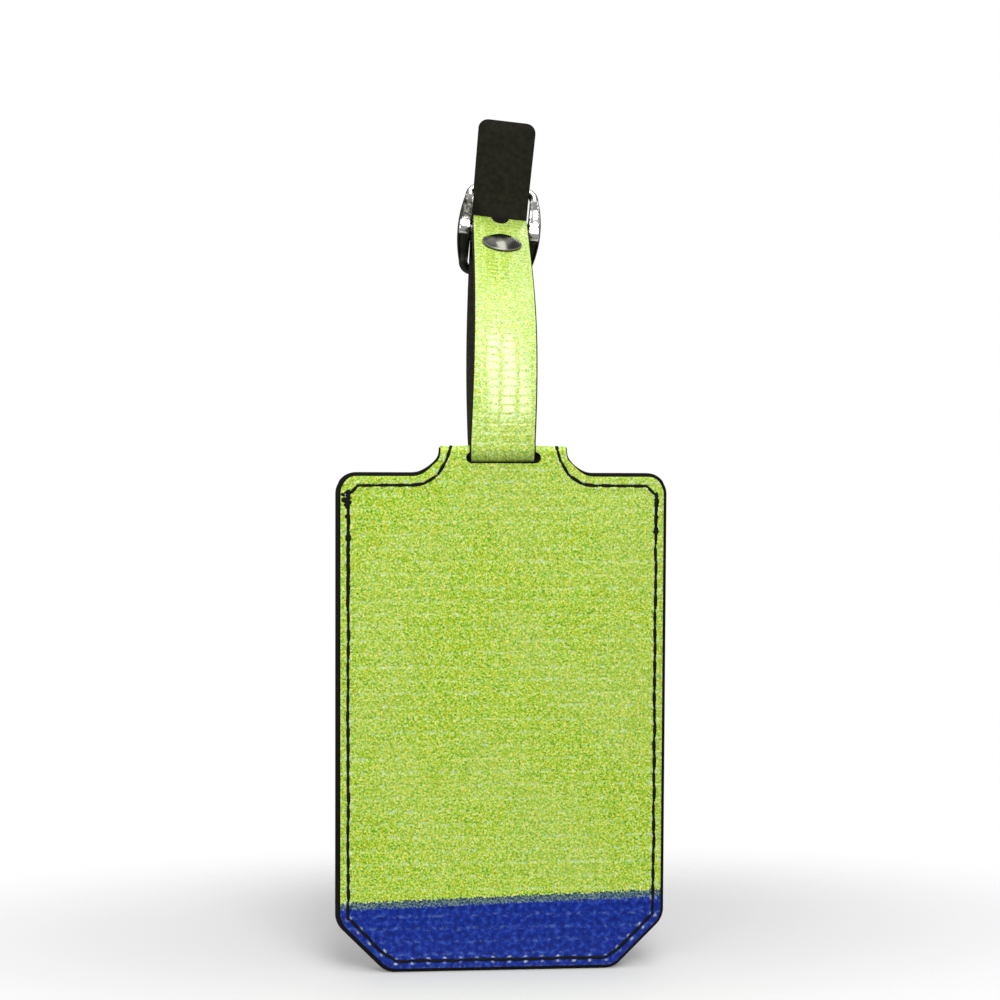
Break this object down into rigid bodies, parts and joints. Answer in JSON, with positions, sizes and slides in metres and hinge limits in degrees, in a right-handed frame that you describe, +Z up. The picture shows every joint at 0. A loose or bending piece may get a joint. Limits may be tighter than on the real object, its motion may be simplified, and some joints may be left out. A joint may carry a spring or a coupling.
{
  "type": "luggage tag with buckled strap",
  "caption": "Flat luggage tag with chamfered lower corners and a clear card pocket behind, hanging on a buckled two-layer strap looped through the slot in its neck.",
  "frame": {"origin": "middle of the strap's loop, where a bag handle passes through", "axes": "+Z up along the hanging tag, -Y towards the lime face of the tag, +X along the line on which the tag swings"},
  "size_m": [0.0692, 0.0656, 0.1887],
  "materials": {
    "lime_sheet": "printed PVC-coated sheet, lime with a blue lower band, faint woven relief, semi-gloss",
    "black_board": "matt black fibre board and panel",
    "black_lining": "matt black fine-grained lining",
    "clear_film": "clear PVC film",
    "card": "uncoated card",
    "thread": "black bonded thread",
    "cast_metal": "nickel-plated zinc casting, worn dark in its recesses",
    "steel": "nickel-plated steel",
    "rivet_metal": "polished gunmetal plating"
  },
  "bodies": {
    "strap": {"strap_face": "lime_sheet", "strap_lining": "black_lining", "rivet_cap": "rivet_metal", "rivet_back": "rivet_metal"},
    "tag": {"folded_cover": "lime_sheet", "inner_board": "black_board", "pocket_panel": "black_board", "window_film": "clear_film", "pocket_seam_front": "thread", "pocket_seam_back": "thread", "neck_seam_front_left": "thread", "neck_seam_front_right": "thread", "neck_seam_back_left": "thread", "neck_seam_back_right": "thread"},
    "card": {"address_card": "card"},
    "buckle": {"buckle_frame": "cast_metal", "buckle_bar": "steel"},
    "prong": {"buckle_prong": "steel"}
  },
  "joints": [
    {"name": "tag_swing", "type": "hinge", "parent": "strap", "child": "tag", "pos_m": [-0.0013, -0.027, -0.026], "axis": [1, 0, 0], "range_deg": [-60, 25]},
    {"name": "card_slide", "type": "slide", "parent": "tag", "child": "card", "axis": [0, 0, 1], "range_m": [0, 0.0075]},
    {"name": "buckle_tilt", "type": "hinge", "parent": "strap", "child": "buckle", "pos_m": [0.00145, 0.028, 0.02785], "axis": [0.9954, 0, -0.0958], "range_deg": [-1.5, 1.5]},
    {"name": "prong_lift", "type": "hinge", "parent": "buckle", "child": "prong", "pos_m": [0.00145, 0.028, 0.02785], "axis": [0.9954, 0, -0.0958], "range_deg": [0, 13]}
  ]
}
